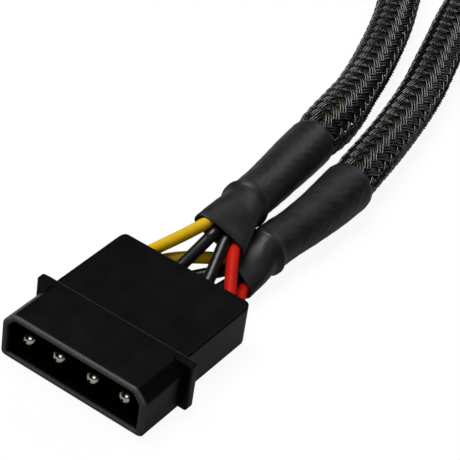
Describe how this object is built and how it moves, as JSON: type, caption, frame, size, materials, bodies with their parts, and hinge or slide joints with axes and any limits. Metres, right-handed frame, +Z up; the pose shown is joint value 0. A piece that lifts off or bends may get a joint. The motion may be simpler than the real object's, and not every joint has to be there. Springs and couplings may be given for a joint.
{
  "type": "power y-cable",
  "caption": "Power splitter cable: a male pin connector whose coloured wires run through heat shrinks and braided sleeves to a pair of female connectors.",
  "frame": {"origin": "on the surface that the cable lies on, under the middle of the front face of the male housing's flange", "axes": "-Y is the way the male connector's mating face looks, +X runs along its row of pins from the yellow wire to the red one, +Z is up"},
  "size_m": [0.0615, 0.2057, 0.0109],
  "materials": {
    "housing_plastic": "satin moulded black nylon",
    "terminal_tin": "bright tin plate on stamped brass",
    "shrink_rubber": "satin black heat-shrink tubing",
    "braid_fibre": "open braid of shiny black monofilament",
    "yellow_insulation": "glossy extruded insulation",
    "black_insulation": "glossy extruded insulation",
    "red_insulation": "glossy extruded insulation"
  },
  "bodies": {
    "root": {"male_housing": "housing_plastic", "male_pin_yellow": "terminal_tin", "male_pin_black_1": "terminal_tin", "male_pin_black_2": "terminal_tin", "male_pin_red": "terminal_tin", "left_near_shrink": "shrink_rubber", "left_sleeve": "braid_fibre", "left_far_shrink": "shrink_rubber", "left_wire_yellow": "yellow_insulation", "left_wire_black_1": "black_insulation", "left_wire_black_2": "black_insulation", "left_wire_red": "red_insulation", "left_female_housing": "housing_plastic", "left_socket_yellow": "terminal_tin", "left_socket_black_1": "terminal_tin", "left_socket_black_2": "terminal_tin", "left_socket_red": "terminal_tin", "right_near_shrink": "shrink_rubber", "right_sleeve": "braid_fibre", "right_far_shrink": "shrink_rubber", "right_wire_yellow": "yellow_insulation", "right_wire_black_1": "black_insulation", "right_wire_black_2": "black_insulation", "right_wire_red": "red_insulation", "right_female_housing": "housing_plastic", "right_socket_yellow": "terminal_tin", "right_socket_black_1": "terminal_tin", "right_socket_black_2": "terminal_tin", "right_socket_red": "terminal_tin"}
  },
  "joints": []
}
